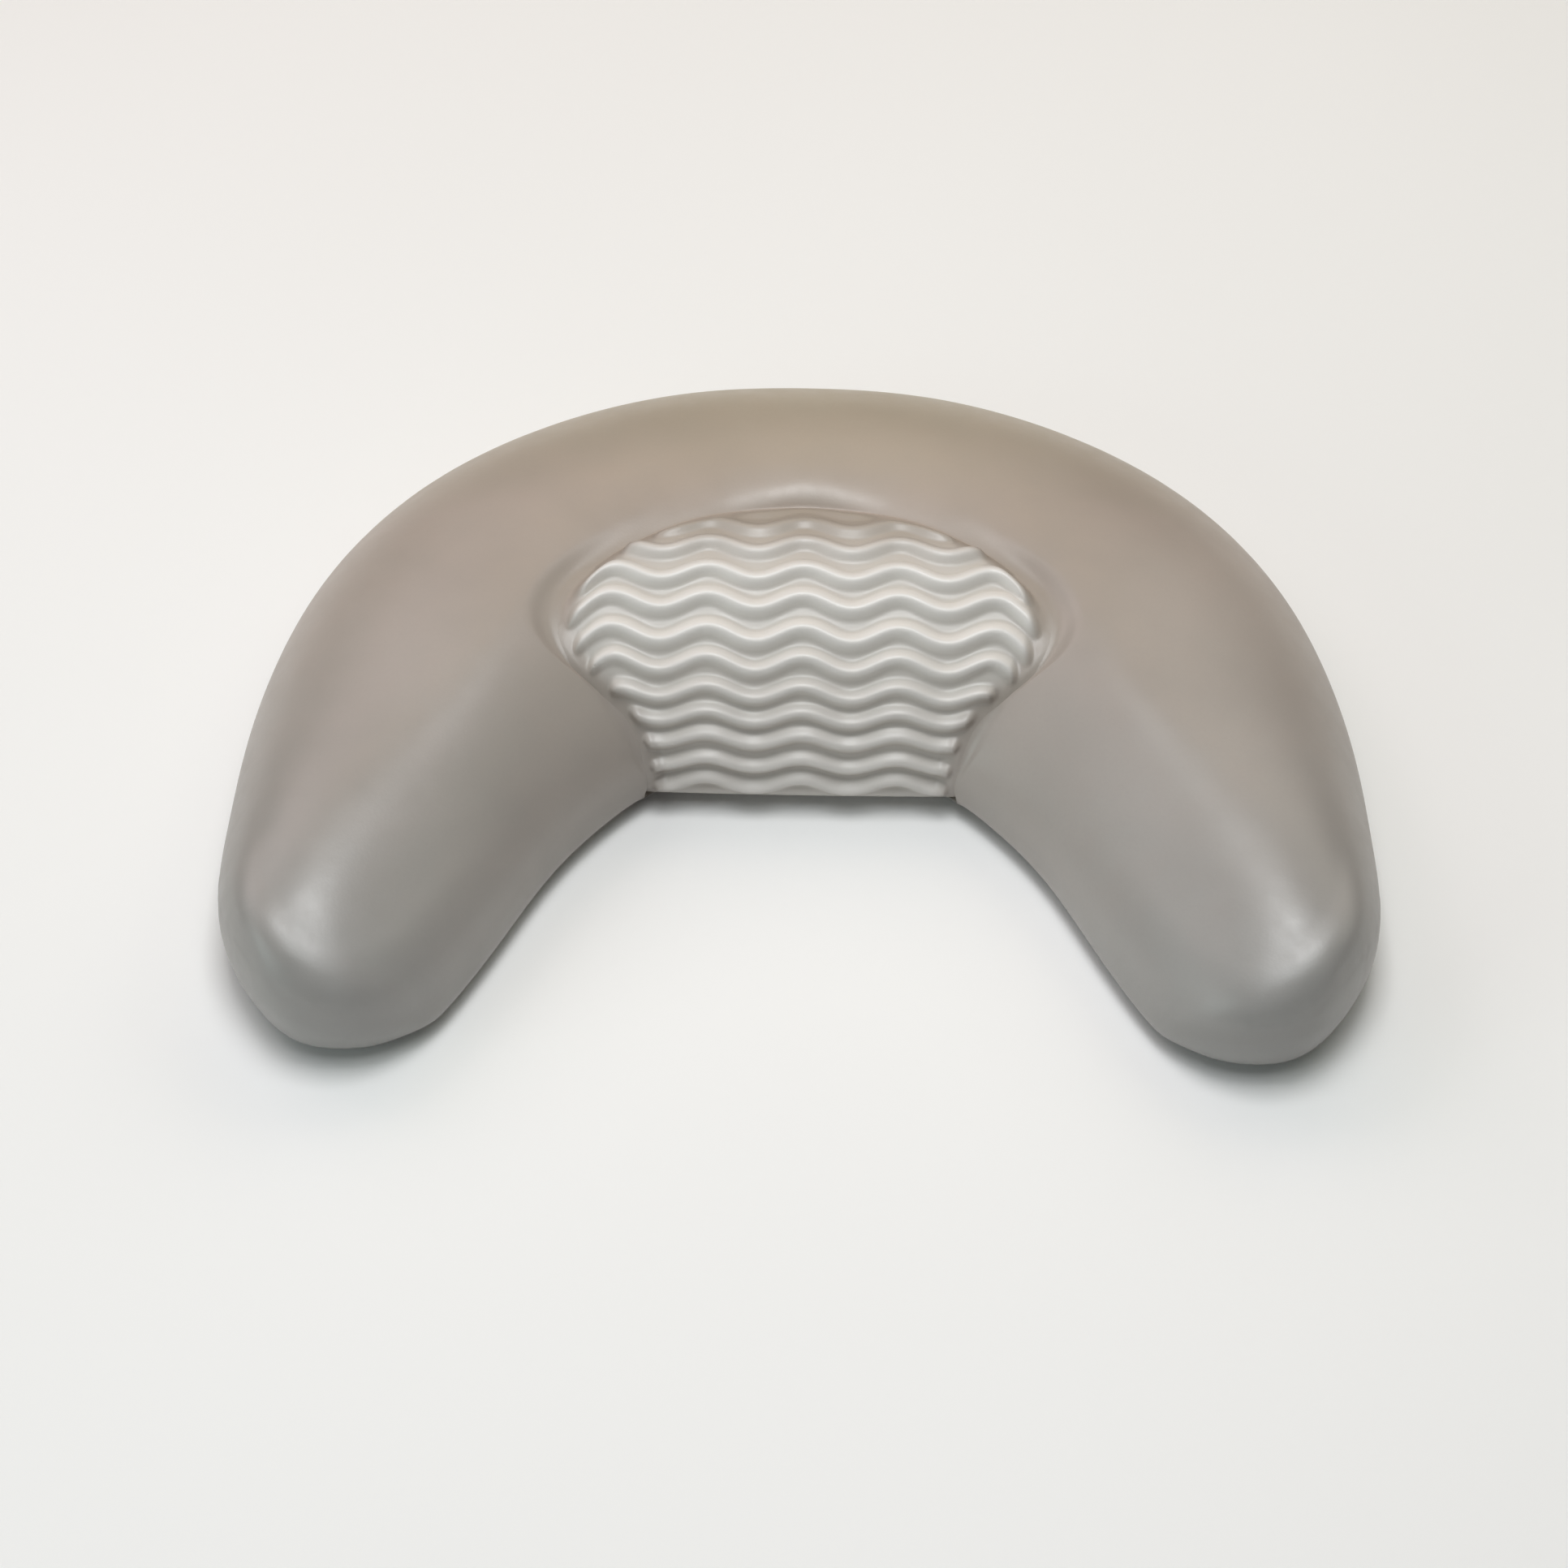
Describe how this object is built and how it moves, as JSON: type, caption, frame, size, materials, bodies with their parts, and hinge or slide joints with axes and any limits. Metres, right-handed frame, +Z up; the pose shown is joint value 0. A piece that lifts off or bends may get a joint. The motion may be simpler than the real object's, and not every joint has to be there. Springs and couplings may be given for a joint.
{
  "type": "bath pillow",
  "caption": "Crescent-shaped moulded bath pillow with arms round the neck, a wave-ribbed neck pad and suction cups on its back.",
  "frame": {"origin": "middle of the footprint, on the surface that the suction cups stand on", "axes": "+X to the right seen from the open side, +Y to the closed back of the crescent, +Z up out of the pillow's face"},
  "size_m": [0.359, 0.2768, 0.0649],
  "materials": {
    "skin": "satin moulded polyurethane skin, warm taupe grey, fine grain",
    "foam": "open-cell flexible foam",
    "pad": "satin moulded polyurethane with rounded wave ribs",
    "plate": "fine-textured moulded plastic",
    "socket": "smooth moulded plastic",
    "cup": "soft translucent vinyl"
  },
  "bodies": {
    "body": {"pillow_skin": "skin", "foam_core": "foam", "neck_pad": "pad", "back_plate": "plate"},
    "socket_1": {"cup_socket_1": "socket"},
    "cup_1": {"suction_cup_1": "cup"},
    "socket_2": {"cup_socket_2": "socket"},
    "cup_2": {"suction_cup_2": "cup"},
    "socket_3": {"cup_socket_3": "socket"},
    "cup_3": {"suction_cup_3": "cup"},
    "socket_4": {"cup_socket_4": "socket"},
    "cup_4": {"suction_cup_4": "cup"},
    "socket_5": {"cup_socket_5": "socket"},
    "cup_5": {"suction_cup_5": "cup"},
    "socket_6": {"cup_socket_6": "socket"},
    "cup_6": {"suction_cup_6": "cup"}
  },
  "joints": [
    {"name": "socket_1_press", "type": "slide", "parent": "body", "child": "socket_1", "axis": [0, 0, 1], "range_m": [0, 0.003], "stiffness_N_per_m": 2000, "springref_m": -0.001},
    {"name": "cup_1_swivel", "type": "hinge", "parent": "socket_1", "child": "cup_1", "pos_m": [-0.055, 0.07787, 0.01], "axis": [0, 0, 1], "continuous": true},
    {"name": "socket_2_press", "type": "slide", "parent": "body", "child": "socket_2", "axis": [0, 0, 1], "range_m": [0, 0.003], "stiffness_N_per_m": 2000, "springref_m": -0.001},
    {"name": "cup_2_swivel", "type": "hinge", "parent": "socket_2", "child": "cup_2", "pos_m": [0.055, 0.07787, 0.01], "axis": [0, 0, 1], "continuous": true},
    {"name": "socket_3_press", "type": "slide", "parent": "body", "child": "socket_3", "axis": [0, 0, 1], "range_m": [0, 0.003], "stiffness_N_per_m": 2000, "springref_m": -0.001},
    {"name": "cup_3_swivel", "type": "hinge", "parent": "socket_3", "child": "cup_3", "pos_m": [-0.12, 0.00588, 0.01], "axis": [0, 0, 1], "continuous": true},
    {"name": "socket_4_press", "type": "slide", "parent": "body", "child": "socket_4", "axis": [0, 0, 1], "range_m": [0, 0.003], "stiffness_N_per_m": 2000, "springref_m": -0.001},
    {"name": "cup_4_swivel", "type": "hinge", "parent": "socket_4", "child": "cup_4", "pos_m": [0.12, 0.00588, 0.01], "axis": [0, 0, 1], "continuous": true},
    {"name": "socket_5_press", "type": "slide", "parent": "body", "child": "socket_5", "axis": [0, 0, 1], "range_m": [0, 0.003], "stiffness_N_per_m": 2000, "springref_m": -0.001},
    {"name": "cup_5_swivel", "type": "hinge", "parent": "socket_5", "child": "cup_5", "pos_m": [-0.1375, -0.09012, 0.01], "axis": [0, 0, 1], "continuous": true},
    {"name": "socket_6_press", "type": "slide", "parent": "body", "child": "socket_6", "axis": [0, 0, 1], "range_m": [0, 0.003], "stiffness_N_per_m": 2000, "springref_m": -0.001},
    {"name": "cup_6_swivel", "type": "hinge", "parent": "socket_6", "child": "cup_6", "pos_m": [0.1375, -0.09012, 0.01], "axis": [0, 0, 1], "continuous": true}
  ]
}
